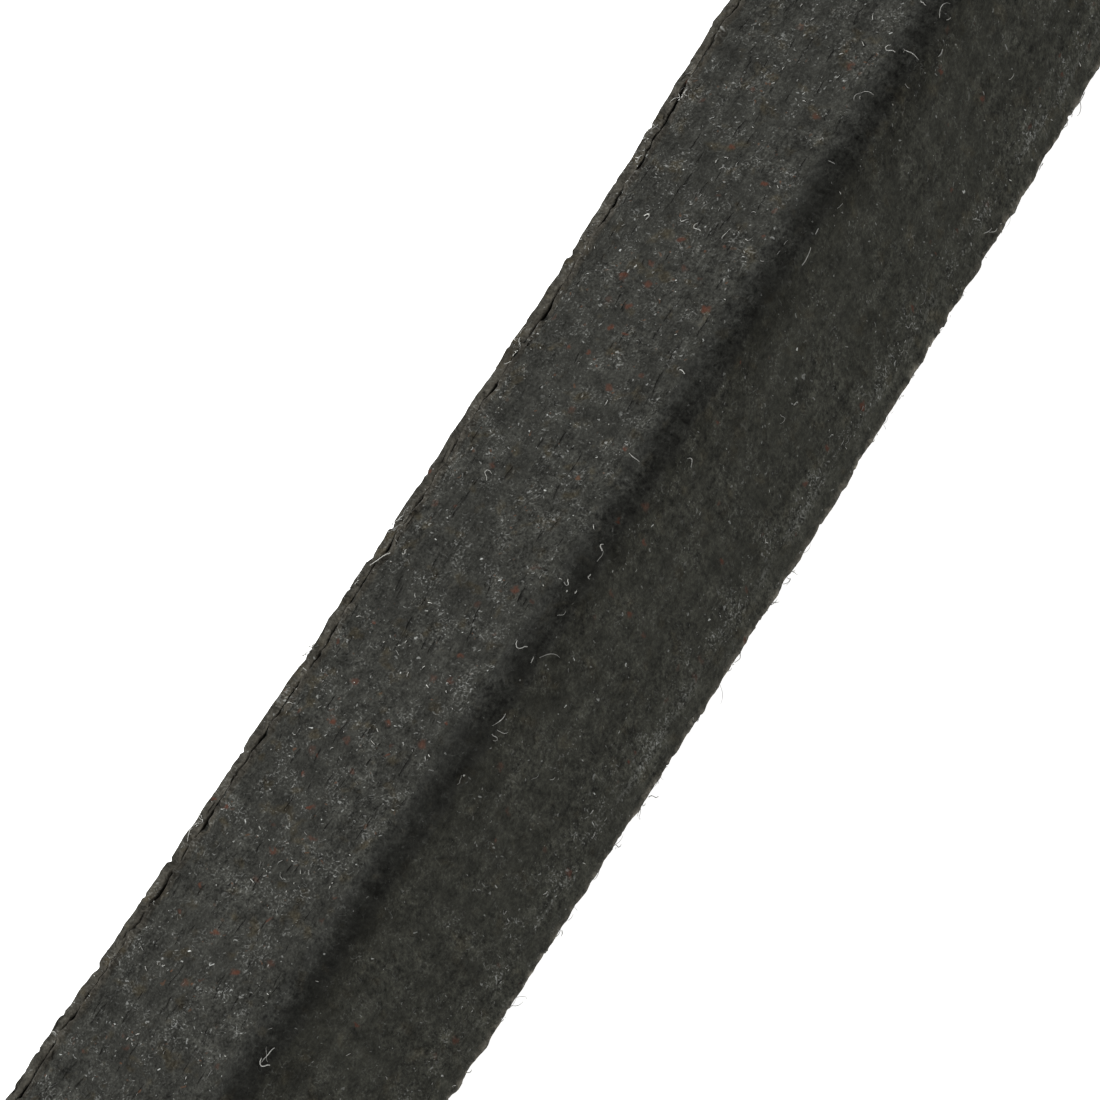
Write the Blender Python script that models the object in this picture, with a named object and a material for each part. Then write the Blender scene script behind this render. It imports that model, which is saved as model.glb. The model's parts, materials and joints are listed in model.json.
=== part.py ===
"""Wrapped classical V-belt: one endless loop, lying on its side as a relaxed oval.

Frame: +X along the long run, +Z across the belt's width, origin under the middle of the loop.
The section is drawn with u outwards from the cord line and w across the width."""

import math

import bpy

MM = 0.001

# Section, classical A profile
TOP_WIDTH = 13.0 * MM
HEIGHT = 8.0 * MM
WEDGE_ANGLE = math.radians(40.0)
CORD_DEPTH = 2.75 * MM  # cord line below the back

# Loop
INSIDE_LENGTH = 965.0 * MM
SIDE_RADIUS = 700.0 * MM  # the long sides bow gently
END_RADIUS = 60.0 * MM
SIDE_STEPS = 13
END_STEPS = 18

# Cover cloth
PLY = 0.40 * MM
GAP = 0.03 * MM
BACK_CORNER_RADIUS = 0.80 * MM
BASE_CORNER_RADIUS = 0.50 * MM
TAIL_END = 1.20 * MM  # how near the middle of the base the tucked end comes
BUTT_GAP = 0.12 * MM

# Core
CUSHION_BOTTOM = 0.98 * MM
ADHESION_TOP = 0.95 * MM
CORD_RADIUS = 0.50 * MM
CORD_PITCH = 1.15 * MM
CORD_TURNS = 7

HALF_WEDGE = WEDGE_ANGLE / 2
BACK = CORD_DEPTH
BASE = CORD_DEPTH - HEIGHT
INNER_PLY = PLY + GAP
CORE = 2 * PLY + 2 * GAP


def half_width(u, inset):
    """Half the width at height u, with the flanks moved in by inset."""
    return TOP_WIDTH / 2 + (u - BACK) * math.tan(HALF_WEDGE) - inset / math.cos(HALF_WEDGE)


def rounded(before, corner, after, radius, steps):
    """Points of an arc that rounds a corner between two neighbours."""
    ax, ay = before[0] - corner[0], before[1] - corner[1]
    bx, by = after[0] - corner[0], after[1] - corner[1]
    a_len, b_len = math.hypot(ax, ay), math.hypot(bx, by)
    ax, ay, bx, by = ax / a_len, ay / a_len, bx / b_len, by / b_len
    half = math.acos(ax * bx + ay * by) / 2
    mx, my = ax + bx, ay + by
    m_len = math.hypot(mx, my)
    reach = radius / math.sin(half)
    cx, cy = corner[0] + mx / m_len * reach, corner[1] + my / m_len * reach
    back = radius / math.tan(half)
    start = math.atan2(corner[1] + ay * back - cy, corner[0] + ax * back - cx)
    end = math.atan2(corner[1] + by * back - cy, corner[0] + bx * back - cx)
    turn = (end - start + math.pi) % (2 * math.pi) - math.pi
    angles = [start + turn * i / steps for i in range(steps + 1)]
    return [(cx + radius * math.cos(a), cy + radius * math.sin(a)) for a in angles]


def outline(corners):
    """A closed outline from (u, w, radius, steps), sharp where radius is 0."""
    points = []
    for i, (u, w, radius, steps) in enumerate(corners):
        before, after = corners[i - 1][:2], corners[(i + 1) % len(corners)][:2]
        points += rounded(before, (u, w), after, radius, steps) if radius else [(u, w)]
    return points


def outer_ply():
    """Tucked tail, upper flank, back, lower flank, base and its free edge, then back inside."""
    tail_out, tail_in = BASE + INNER_PLY, BASE + INNER_PLY + PLY
    inside_back, inside_base = BACK - PLY, BASE + PLY
    return outline(
        [
            (tail_out, TAIL_END, 0, 0),
            (tail_out, half_width(tail_out, 0), 0.25 * MM, 2),
            (BACK, TOP_WIDTH / 2, BACK_CORNER_RADIUS, 4),
            (BACK, -TOP_WIDTH / 2, BACK_CORNER_RADIUS, 4),
            (BASE, -half_width(BASE, 0), BASE_CORNER_RADIUS, 2),
            (BASE, half_width(BASE, GAP), 0, 0),
            (inside_base, half_width(inside_base, GAP), 0, 0),
            (inside_base, -half_width(inside_base, PLY), 0.1 * MM, 1),
            (inside_back, -half_width(inside_back, PLY), BACK_CORNER_RADIUS - PLY, 2),
            (inside_back, half_width(inside_back, PLY), BACK_CORNER_RADIUS - PLY, 2),
            (tail_in, half_width(tail_in, PLY), 0, 0),
            (tail_in, TAIL_END, 0, 0),
        ]
    )


def inner_ply():
    """Second ply, butted against the tucked tail on the base."""
    out, thick = INNER_PLY, INNER_PLY + PLY
    outside, inside = BASE + out, BASE + thick
    flank_end = inside + GAP
    butt = TAIL_END - BUTT_GAP
    radius = BACK_CORNER_RADIUS - INNER_PLY
    return outline(
        [
            (flank_end, half_width(flank_end, out), 0, 0),
            (BACK - out, half_width(BACK - out, out), radius, 2),
            (BACK - out, -half_width(BACK - out, out), radius, 2),
            (outside, -half_width(outside, out), 0.08 * MM, 1),
            (outside, butt, 0, 0),
            (inside, butt, 0, 0),
            (inside, -half_width(inside, thick), 0, 0),
            (BACK - thick, -half_width(BACK - thick, thick), 0, 0),
            (BACK - thick, half_width(BACK - thick, thick), 0, 0),
            (flank_end, half_width(flank_end, thick), 0, 0),
        ]
    )


def core_layer(low, high, radius=0.0):
    """A layer of core rubber between two heights, its back corners eased by radius."""
    steps = 2 if radius else 0
    return outline(
        [
            (high, half_width(high, CORE), radius, steps),
            (high, -half_width(high, CORE), radius, steps),
            (low, -half_width(low, CORE), 0, 0),
            (low, half_width(low, CORE), 0, 0),
        ]
    )


def loop_points():
    """Stations of the cord line: front side, right end, rear side, left end."""
    cord_length = INSIDE_LENGTH + 2 * math.pi * (HEIGHT - CORD_DEPTH)
    spread = SIDE_RADIUS - END_RADIUS
    side = (cord_length - 2 * math.pi * END_RADIUS) / (4 * spread)
    middle, centre = spread * math.sin(side), spread * math.cos(side)
    front = []
    for i in range(SIDE_STEPS):
        a = side * (2 * i / SIDE_STEPS - 1)
        front.append((SIDE_RADIUS * math.sin(a), centre - SIDE_RADIUS * math.cos(a)))
    right = []
    for i in range(END_STEPS):
        a = (math.pi / 2 - side) * (2 * i / END_STEPS - 1)
        right.append((middle + END_RADIUS * math.cos(a), END_RADIUS * math.sin(a)))
    half = front + right
    return half + [(-x, -y) for x, y in half]


def collection(name):
    made = bpy.data.collections.new(name)
    bpy.context.scene.collection.children.link(made)
    return made


def material(name, colour, roughness):
    made = bpy.data.materials.new(name)
    made.use_nodes = True
    shader = made.node_tree.nodes["Principled BSDF"]
    shader.inputs["Base Color"].default_value = (*colour, 1.0)
    shader.inputs["Roughness"].default_value = roughness
    shader.inputs["Metallic"].default_value = 0.0
    return made


def poly_curve(name, points, closed, group):
    data = bpy.data.curves.new(name, "CURVE")
    data.dimensions = "3D"
    data.twist_mode = "Z_UP"
    spline = data.splines.new("POLY")
    spline.points.add(len(points) - 1)
    for point, place in zip(spline.points, points):
        point.co = (*place, 1.0)
    spline.use_cyclic_u = closed
    made = bpy.data.objects.new(name, data)
    group.objects.link(made)
    return made


def swept(name, section, stations, lift, finish, group, helpers):
    """A closed section carried round the loop."""
    profile = poly_curve(name + "_section", [(u, w, 0.0) for u, w in section], True, helpers)
    profile.hide_render = True
    profile.display_type = "WIRE"
    body = poly_curve(name, [(x, y, lift) for x, y in stations], True, group)
    body.data.bevel_mode = "OBJECT"
    body.data.bevel_object = profile
    body.data.materials.append(finish)
    return body


def wound_cord(stations, lift, finish, group):
    """One cord wound side by side round the loop, a pitch further across on each turn."""
    total = CORD_TURNS * len(stations)
    first = -CORD_PITCH * CORD_TURNS / 2
    places = []
    for i in range(total + 1):
        x, y = stations[i % len(stations)]
        places.append((x, y, lift + first + CORD_PITCH * i / len(stations)))
    cord = poly_curve("tensile_cord", places, False, group)
    cord.data.bevel_depth = CORD_RADIUS
    cord.data.bevel_resolution = 1
    cord.data.use_fill_caps = True
    cord.data.materials.append(finish)
    for spline in cord.data.splines:
        spline.use_smooth = True
    return cord


def main():
    for old in list(bpy.data.objects):
        bpy.data.objects.remove(old, do_unlink=True)
    belt = collection("wrapped_v_belt")
    helpers = collection("section_outlines")
    cloth = material("cover_cloth", (0.045, 0.045, 0.038), 0.85)
    inner_cloth = material("inner_cover_cloth", (0.06, 0.055, 0.045), 0.9)
    cushion = material("cushion", (0.02, 0.02, 0.02), 0.6)
    upper = material("upper_adhesion", (0.03, 0.027, 0.024), 0.6)
    lower = material("lower_adhesion", (0.032, 0.028, 0.025), 0.6)
    wedge = material("compression", (0.016, 0.016, 0.017), 0.6)
    cord = material("polyester_cord", (0.62, 0.57, 0.46), 0.7)
    stations = loop_points()
    shell = outer_ply()
    lift = -min(w for _, w in shell)
    layers = [
        ("cover_outer", shell, cloth),
        ("cover_inner", inner_ply(), inner_cloth),
        ("cushion_rubber", core_layer(CUSHION_BOTTOM, BACK - CORE), cushion),
        ("adhesion_upper", core_layer(CORD_RADIUS + GAP, ADHESION_TOP), upper),
        ("adhesion_lower", core_layer(-ADHESION_TOP, -CORD_RADIUS - GAP), lower),
        ("compression_rubber", core_layer(BASE + CORE, -CUSHION_BOTTOM), wedge),
    ]
    for name, section, finish in layers:
        swept(name, section, stations, lift, finish, belt, helpers)
    wound_cord(stations, lift, cord, belt)


main()
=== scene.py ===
"""Looks for a fabric-wrapped classical V-belt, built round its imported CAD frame.

The outer cover ply, the plies and rubbers under it and the loose yarn ends are all swept or scattered
along one closed loop by Geometry Nodes. Sections are drawn with u outwards from the cord line and w
across the belt's width, in metres."""

import json
import math
import random

import bpy
from bpy.props import FloatProperty, FloatVectorProperty, IntProperty, PointerProperty
from mathutils import Matrix, Vector

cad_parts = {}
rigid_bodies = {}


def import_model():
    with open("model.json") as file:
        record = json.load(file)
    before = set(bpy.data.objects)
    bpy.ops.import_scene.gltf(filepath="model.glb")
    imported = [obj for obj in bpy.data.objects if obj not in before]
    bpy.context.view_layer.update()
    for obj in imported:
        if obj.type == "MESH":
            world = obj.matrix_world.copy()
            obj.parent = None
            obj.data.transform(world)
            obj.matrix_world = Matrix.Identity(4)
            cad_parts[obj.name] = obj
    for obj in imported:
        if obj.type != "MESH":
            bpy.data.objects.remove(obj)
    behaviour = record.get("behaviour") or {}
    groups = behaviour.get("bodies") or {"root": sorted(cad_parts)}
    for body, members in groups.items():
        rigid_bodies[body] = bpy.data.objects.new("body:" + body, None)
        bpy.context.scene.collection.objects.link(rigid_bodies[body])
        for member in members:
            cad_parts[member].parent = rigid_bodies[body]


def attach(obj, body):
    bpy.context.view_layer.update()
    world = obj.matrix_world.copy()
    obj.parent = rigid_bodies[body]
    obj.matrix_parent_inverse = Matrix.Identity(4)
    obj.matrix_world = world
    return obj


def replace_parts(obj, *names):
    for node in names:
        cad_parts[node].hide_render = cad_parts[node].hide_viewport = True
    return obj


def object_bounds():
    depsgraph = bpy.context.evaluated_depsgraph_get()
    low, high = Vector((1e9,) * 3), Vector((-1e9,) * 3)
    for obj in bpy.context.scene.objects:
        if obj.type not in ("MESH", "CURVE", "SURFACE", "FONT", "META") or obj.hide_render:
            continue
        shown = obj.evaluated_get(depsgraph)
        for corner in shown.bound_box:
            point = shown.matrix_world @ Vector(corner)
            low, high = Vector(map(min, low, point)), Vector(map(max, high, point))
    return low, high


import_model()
CAD_LOW, CAD_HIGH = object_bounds()
BELT_MIDDLE = (CAD_LOW.z + CAD_HIGH.z) / 2

bl_info = {
    "name": "Wrapped V-belt",
    "version": (1, 0, 0),
    "blender": (4, 5, 0),
    "location": "View3D > Sidebar > Belt",
    "description": "A fabric-wrapped V-belt with its plies, cord and loose yarn ends",
    "category": "Object",
}

MM = 0.001
BODY = "root"
HELPERS = "belt_helpers"


# ---------------------------------------------------------------- settings


def length(default, description):
    return FloatProperty(default=default, description=description, unit="LENGTH", precision=5)


def turn(degrees, description):
    return FloatProperty(default=math.radians(degrees), description=description, subtype="ANGLE")


def count(default, description):
    return IntProperty(default=default, description=description, min=1)


def colour(default, description):
    return FloatVectorProperty(
        default=default, description=description, subtype="COLOR", size=3, min=0.0, max=1.0
    )


class BeltSection(bpy.types.PropertyGroup):
    """The wedge section and the cloth wrapped round it."""

    top_width: length(13.0 * MM, "Width of the back between its sharp corners")
    height: length(8.0 * MM, "From the back to the base")
    wedge: turn(40.0, "Angle between the two flanks")
    cord_depth: length(2.75 * MM, "From the back down to the cord line")
    ply: length(0.40 * MM, "Thickness of one ply of cover cloth")
    gap: length(0.03 * MM, "Bond line between neighbouring layers")
    back_corner: length(0.80 * MM, "Radius of the two corners of the back")
    base_corner: length(0.50 * MM, "Radius of the plain corner of the base")
    tuck_corner: length(0.16 * MM, "Radius where the cloth turns in under its own free edge")
    tail_end: length(1.20 * MM, "How near the middle of the base the tucked end comes")
    cord: length(0.50 * MM, "Radius of the tensile cord")
    cord_pitch: length(1.15 * MM, "Sideways step of the cord at each turn")
    cord_turns: count(7, "Turns of the cord side by side")
    adhesion: length(0.95 * MM, "From the cord line to the far side of the adhesion rubber")


class BeltLoop(bpy.types.PropertyGroup):
    """The oval in which the belt lies, and how finely it is divided."""

    inside_length: length(965.0 * MM, "Length round the inside of the belt")
    side_radius: length(700.0 * MM, "Bow of the two long sides")
    end_radius: length(60.0 * MM, "Radius of the two ends")
    fine_length: length(50.0 * MM, "Stretch in the middle of the front with the finest relief")
    fine_stations: count(450, "Stations in the fine stretch")
    coarse_stations: count(270, "Stations of the cover round the rest of the loop")
    layer_stations: count(600, "Stations of the inner layers round the rest of the loop")
    cord_stations: count(720, "Stations of the cord in one turn of the loop")


class CoverCloth(bpy.types.PropertyGroup):
    """Weave, moulding marks and wear of the cover cloth, and the colours that paint its shade and
    highlights.
    """

    thread_pitch: length(0.90 * MM, "Spacing of the threads in both directions")
    thread_angle: turn(52.5, "Lean of both sets of threads from the belt's length")
    thread_depth: length(0.020 * MM, "Relief of the weave through the rubber skin")
    wave_depth: length(0.08 * MM, "Slow unevenness of the wrapped cloth")
    scallop_depth: length(0.100 * MM, "Unevenness along the corners")
    nub_height: length(0.13 * MM, "Height of the knots that stand out at the corners")
    rim_depth: length(0.20 * MM, "Raggedness of the cloth's free edge")
    lap_wander: length(0.75 * MM, "Wander of the free edge over the flank")
    pit_depth: length(0.10 * MM, "Depth of the crevices under the free edge")
    mark_pitch: length(0.22 * MM, "Spacing of the mould's turning marks on the flanks")
    cloth: colour((0.0256, 0.0258, 0.0224), "Rubbed cloth")
    olive: colour((0.0276, 0.0278, 0.0222), "Cloth of the back and base")
    smooth: colour((0.0276, 0.0280, 0.0247), "Smooth rubber at the corners of the back")
    # darker cloth beside the upper corner of the back, partly painted shade of the ridge's dark band
    dusk: colour((0.0176, 0.0175, 0.0133), "Oily cloth beside the upper corner of the back")
    # frayed cloth at the free edge; lighter copies of it also serve as painted highlight along both outlines
    rim: colour((0.0400, 0.0370, 0.0300), "Frayed cloth at the free edge")
    blotch: colour((0.0340, 0.0270, 0.0140), "Ochre blotches")
    lint: colour((0.40, 0.41, 0.39), "Specks of broken white fibre")
    rust: colour((0.068, 0.029, 0.019), "Rust-red specks")
    ember: colour((0.082, 0.044, 0.027), "Crowds of small orange specks")


class LooseFibres(bpy.types.PropertyGroup):
    """White yarn ends standing out of the cloth."""

    corner_number: count(5100, "Yarn ends along the two corners of the back")
    lap_number: count(3200, "Yarn ends along the free edge of the cloth")
    face_number: count(2000, "Yarn ends on the faces")
    lint_number: count(9000, "Crumbs of broken fibre lying on the faces")
    thickness: length(0.015 * MM, "Radius of a yarn end at its thickest")
    tone: colour((0.52, 0.52, 0.48), "Undyed yarn")


class Studio(bpy.types.PropertyGroup):
    """Floor, light and camera."""

    floor_side: length(6.0, "Side of the square floor")
    elevation: turn(62.38, "Height of the view over the back's normal, about the run")
    swing: turn(10.0, "How far the view is swung along the run")
    roll: turn(57.12, "Angle of the run above level in the frame")
    distance: length(165.87 * MM, "From the camera to the belt")
    rise: length(1.796 * MM, "Aim above the cord line, across the strip")
    lens: FloatProperty(default=176.12, description="Focal length on a 36 mm sensor", min=1.0)


SETTINGS = {
    "belt_section": BeltSection,
    "belt_loop": BeltLoop,
    "cover_cloth": CoverCloth,
    "loose_fibres": LooseFibres,
    "studio": Studio,
}


# ---------------------------------------------------------------- node helpers


class Nodes:
    """Adds nodes to a tree, fed with sockets or plain values."""

    def __init__(self, tree):
        self.tree = tree

    def feed(self, socket, value):
        if isinstance(value, bpy.types.NodeSocket):
            self.tree.links.new(value, socket)
        else:
            socket.default_value = value

    def add(self, kind, inputs=None, **settings):
        node = self.tree.nodes.new(kind)
        for key, value in settings.items():
            setattr(node, key, value)
        for key, value in (inputs or {}).items():
            socket = node.inputs[key] if isinstance(key, int) else self.named(node.inputs, key)
            self.feed(socket, value)
        return node

    def named(self, sockets, name):
        return next(s for s in sockets if s.name == name and s.enabled)

    def out(self, node, name=None):
        return self.named(node.outputs, name) if name else next(s for s in node.outputs if s.enabled)

    def math(self, operation, *values):
        return self.add("ShaderNodeMath", dict(enumerate(values)), operation=operation).outputs[0]

    def plus(self, first, second):
        return self.math("ADD", first, second)

    def minus(self, first, second):
        return self.math("SUBTRACT", first, second)

    def times(self, first, second):
        return self.math("MULTIPLY", first, second)

    def over(self, first, second):
        return self.math("DIVIDE", first, second)

    def times_plus(self, first, second, third):
        """The first two multiplied, with the third added."""
        return self.math("MULTIPLY_ADD", first, second, third)

    def floor(self, value):
        return self.math("FLOOR", value)

    def crossed(self, first, second):
        """Two sets of waves that cross, as woven threads do."""
        one = self.math("SINE", self.plus(first, second))
        return self.times(one, self.math("SINE", self.minus(first, second)))

    def vector(self, operation, *values):
        node = self.add("ShaderNodeVectorMath", operation=operation)
        for i, value in enumerate(values):
            self.feed(node.inputs["Scale"] if operation == "SCALE" and i == 1 else node.inputs[i], value)
        return node.outputs["Value"] if operation in ("DOT_PRODUCT", "LENGTH") else node.outputs["Vector"]

    def shift(self, first, second):
        return self.vector("ADD", first, second)

    def scale(self, vector, factor):
        return self.vector("SCALE", vector, factor)

    def xyz(self, x=0.0, y=0.0, z=0.0):
        return self.add("ShaderNodeCombineXYZ", {"X": x, "Y": y, "Z": z}).outputs[0]

    def split(self, vector):
        return self.add("ShaderNodeSeparateXYZ", {"Vector": vector}).outputs

    def ramp(self, value, low, high, to_low=0.0, to_high=1.0, smooth=True):
        """The value carried from low..high to to_low..to_high, held at both ends."""
        kind = "SMOOTHSTEP" if smooth else "LINEAR"
        inputs = {0: value, 1: low, 2: high, 3: to_low, 4: to_high}
        return self.add("ShaderNodeMapRange", inputs, interpolation_type=kind).outputs[0]

    def noise(self, vector, scale, detail=2.0, roughness=0.5, distortion=0.0, channel=0):
        """Soft noise as one value, or as a colour on channel 1."""
        inputs = {"Vector": vector, "Scale": scale, "Detail": detail, "Roughness": roughness}
        return self.add("ShaderNodeTexNoise", {**inputs, "Distortion": distortion}).outputs[channel]

    def mix(self, factor, first, second, blend="MIX"):
        node = self.add("ShaderNodeMix", data_type="RGBA", blend_type=blend)
        self.feed(node.inputs[0], factor)
        for socket, value in ((node.inputs[6], first), (node.inputs[7], second)):
            self.feed(socket, value if isinstance(value, bpy.types.NodeSocket) else rgba(value))
        return node.outputs[2]


def rgba(values):
    return (values[0], values[1], values[2], 1.0)


class GeometryTree(Nodes):
    """A Geometry Nodes tree with named inputs."""

    def __init__(self, name, inputs):
        super().__init__(bpy.data.node_groups.new(name, "GeometryNodeTree"))
        self.tree.interface.new_socket("Geometry", in_out="INPUT", socket_type="NodeSocketGeometry")
        for label, kind in inputs.items():
            self.tree.interface.new_socket(label, in_out="INPUT", socket_type="NodeSocket" + kind)
        self.tree.interface.new_socket("Geometry", in_out="OUTPUT", socket_type="NodeSocketGeometry")
        self.given = self.tree.nodes.new("NodeGroupInput").outputs
        self.result = self.tree.nodes.new("NodeGroupOutput").inputs["Geometry"]

    def node(self, kind, inputs=None, output=None, **settings):
        """The named output of a new geometry node, or its first."""
        return self.out(self.add("GeometryNode" + kind, inputs, **settings), output)

    def finish(self, geometry, material):
        real = self.node("RealizeInstances", {"Geometry": geometry})
        dressed = self.node("SetMaterial", {"Geometry": real, "Material": material})
        self.feed(self.result, dressed)

    def store(self, geometry, name, value, data_type="FLOAT", domain="POINT"):
        inputs = {"Geometry": geometry, "Name": name, "Value": value}
        kinds = {"data_type": data_type, "domain": domain}
        return self.node("StoreNamedAttribute", inputs, **kinds)

    def attribute(self, name):
        return self.node("InputNamedAttribute", {"Name": name}, data_type="FLOAT")

    def move(self, geometry, position=None, offset=None):
        inputs = {"Geometry": geometry}
        if position is not None:
            inputs["Position"] = position
        if offset is not None:
            inputs["Offset"] = offset
        return self.node("SetPosition", inputs)

    def position(self):
        return self.add("GeometryNodeInputPosition").outputs[0]

    def point_of(self, geometry, index, value, data_type="FLOAT"):
        inputs = {"Geometry": geometry, "Value": value, "Index": index}
        kinds = {"data_type": data_type, "domain": "POINT", "clamp": True}
        return self.node("SampleIndex", inputs, **kinds)

    def along(self, path, distance):
        """Place, direction along the loop and outward direction at a distance along the path."""
        node = self.add("GeometryNodeSampleCurve", mode="LENGTH", use_all_curves=True)
        self.feed(self.named(node.inputs, "Curves"), path)
        self.feed(self.named(node.inputs, "Length"), distance)
        tangent = self.vector("NORMALIZE", node.outputs["Tangent"])
        outward = self.vector("NORMALIZE", self.vector("CROSS_PRODUCT", tangent, (0.0, 0.0, 1.0)))
        return node.outputs["Position"], tangent, outward

    def in_section(self, outward, across_uw):
        """A vector drawn in the section, carried into the belt's own directions."""
        u, w, _ = self.split(across_uw)
        return self.shift(self.scale(outward, u), self.xyz(z=w))


def built(name, tree, values, material_slot):
    """The plain mesh that a tree makes, as an object that rides on the belt."""
    carrier = bpy.data.objects.new(name + "_carrier", bpy.data.meshes.new(name + "_carrier"))
    bpy.context.scene.collection.objects.link(carrier)
    modifier = carrier.modifiers.new("shape", "NODES")
    modifier.node_group = tree.tree
    for item in tree.tree.interface.items_tree:
        if item.in_out == "INPUT" and item.name in values:
            modifier[item.identifier] = values[item.name]
    evaluated = carrier.evaluated_get(bpy.context.evaluated_depsgraph_get())
    mesh = bpy.data.meshes.new_from_object(evaluated)
    mesh.name = name
    bpy.data.objects.remove(carrier)
    piece = bpy.data.objects.new(name, mesh)
    bpy.context.scene.collection.objects.link(piece)
    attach(piece, BODY)
    return piece


# ---------------------------------------------------------------- loop and section


def loop_points(section, loop, steps=2400):
    """Evenly spread points of the cord line, from the middle of the rear side."""
    total = loop.inside_length + 2 * math.pi * (section.height - section.cord_depth)
    spread = loop.side_radius - loop.end_radius
    side = (total - 2 * math.pi * loop.end_radius) / (4 * spread)
    middle, centre = spread * math.sin(side), spread * math.cos(side)
    half_side, half_end = loop.side_radius * side, loop.end_radius * (math.pi / 2 - side)

    def quarter(distance):
        """From the middle of a long side to the middle of an end, in the first quadrant."""
        if distance < half_side:
            a = distance / loop.side_radius
            return loop.side_radius * math.sin(a), loop.side_radius * math.cos(a) - centre
        a = math.pi / 2 - side - (distance - half_side) / loop.end_radius
        return middle + loop.end_radius * math.cos(a), loop.end_radius * math.sin(a)

    reach = half_side + half_end
    points = []
    for i in range(steps):
        part, distance = divmod(4 * reach * i / steps, reach)
        x, y = quarter(distance if part % 2 == 0 else reach - distance)
        signs = ((-1, 1), (-1, -1), (1, -1), (1, 1))[int(part) % 4]
        points.append((x * signs[0], y * signs[1], BELT_MIDDLE))
    return points, 4 * reach


def half_width(section, u, inset):
    """Half the width at height u, with the flanks moved in by inset."""
    lean = section.wedge / 2
    return section.top_width / 2 + (u - section.cord_depth) * math.tan(lean) - inset / math.cos(lean)


def arc_points(before, corner, after, radius, spacing):
    """Points of the arc that rounds a corner."""
    a = (Vector(before) - Vector(corner)).normalized()
    b = (Vector(after) - Vector(corner)).normalized()
    half = a.angle(b) / 2
    centre = Vector(corner) + (a + b).normalized() * radius / math.sin(half)
    first = Vector(corner) + a * radius / math.tan(half) - centre
    last = Vector(corner) + b * radius / math.tan(half) - centre
    sweep = (math.atan2(last.y, last.x) - math.atan2(first.y, first.x) + math.pi) % (2 * math.pi) - math.pi
    steps = max(2, round(abs(sweep) * radius / spacing))
    start = math.atan2(first.y, first.x)
    angles = [start + sweep * i / steps for i in range(steps + 1)]
    return [centre + Vector((math.cos(t), math.sin(t))) * radius for t in angles]


ARC_SPACING = 0.2 * MM  # between neighbouring points of a rounded corner


def outline(corners):
    """A closed outline from (u, w, radius, spacing), each straight divided at its first corner's spacing."""
    stretches = []
    for i, (u, w, radius, _) in enumerate(corners):
        before, after = corners[i - 1][:2], corners[(i + 1) % len(corners)][:2]
        rounded = arc_points(before, (u, w), after, radius, ARC_SPACING) if radius else [Vector((u, w))]
        stretches.append(rounded)
    points = []
    for i, stretch in enumerate(stretches):
        start, end = stretch[-1], stretches[(i + 1) % len(stretches)][0]
        steps = max(1, round((end - start).length / corners[i][3]))
        points += stretch + [start.lerp(end, k / steps) for k in range(1, steps)]
    return points + [points[0]]


def cover_outline(s):
    """Outer ply: tucked tail, flank, back, flank, base, its free edge, and back along the inside."""
    back, base = s.cord_depth, s.cord_depth - s.height
    tail_out, tail_in = base + s.ply + s.gap, base + 2 * s.ply + s.gap
    inside_back, inside_base = back - s.ply, base + s.ply
    fine, plain, hidden = 0.25 * MM, 0.75 * MM, 3.0 * MM
    tucked, rim_end = 0.5 * MM, base + 1.35 * MM

    def half(u, inset=0.0):
        return half_width(s, u, inset)

    edge = 0.06 * MM
    return outline(
        [
            (tail_out, s.tail_end, 0, hidden),
            (tail_out, half(tail_out) - tucked, 0, hidden),
            (tail_out, half(tail_out), s.tuck_corner, 0.12 * MM),
            (rim_end, half(rim_end), 0, fine),
            (back, s.top_width / 2, s.back_corner, 0.29 * MM),
            (back, -s.top_width / 2, s.back_corner, plain),
            (base, -half(base), s.base_corner, plain),
            (base, half(base, s.gap), edge, 0.14 * MM),
            (inside_base, half(inside_base, s.gap), edge, hidden),
            (inside_base, half(inside_base, s.gap) - tucked, 0, hidden),
            (inside_base, -half(inside_base, s.ply), 0, hidden),
            (inside_back, -half(inside_back, s.ply), s.back_corner - s.ply, hidden),
            (inside_back, half(inside_back, s.ply), s.back_corner - s.ply, hidden),
            (tail_in, half(tail_in, s.ply), 0, hidden),
            (tail_in, s.tail_end, 0, hidden),
        ]
    )


def inner_outline(s):
    """Second ply, butted against the tucked tail on the base."""
    back, base = s.cord_depth, s.cord_depth - s.height
    out, thick = s.ply + s.gap, 2 * s.ply + s.gap
    flank_end, butt, step = base + thick + s.gap, s.tail_end - 4 * s.gap, 1.5 * MM

    def corner(u, inset, side, radius=0.0):
        return (u, side * half_width(s, u, inset), radius, step)

    return outline(
        [
            corner(flank_end, out, 1),
            corner(back - out, out, 1, s.back_corner - out),
            corner(back - out, out, -1, s.back_corner - out),
            corner(base + out, out, -1),
            (base + out, butt, 0, step),
            (base + thick, butt, 0, step),
            corner(base + thick, thick, -1),
            corner(back - thick, thick, -1),
            corner(back - thick, thick, 1),
            corner(flank_end, thick, 1),
        ]
    )


def core_outline(s, low, high):
    """A layer of core rubber between two heights."""
    core = 2 * s.ply + 2 * s.gap
    ends = ((high, 1), (high, -1), (low, -1), (low, 1))
    return outline([(u, side * half_width(s, u, core), 0, 1.5 * MM) for u, side in ends])


def near(distance, reach):
    """1 at no distance, falling smoothly to 0 at reach."""
    t = min(1.0, abs(distance) / reach)
    return 1 - t * t * (3 - 2 * t)


def window(value, start, full, end, gone):
    """0 before start, 1 from full to end, 0 after gone, with soft steps."""
    rising = 1 - near(max(0.0, value - start), full - start)
    return min(rising, near(max(0.0, value - end), gone - end))


SEEN_ACROSS = (0.886, -0.464)  # direction in the section that lies across the strip as the camera sees it
LEAST_SEEN = 0.45  # least share of a step that counts, on faces turned away from the camera
SKIN = 0.05 * MM  # outline points shallower than this lie on the outside
CORNER_SKIN = 0.36 * MM  # the same near the rounded corners, where the arc runs below both faces


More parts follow.
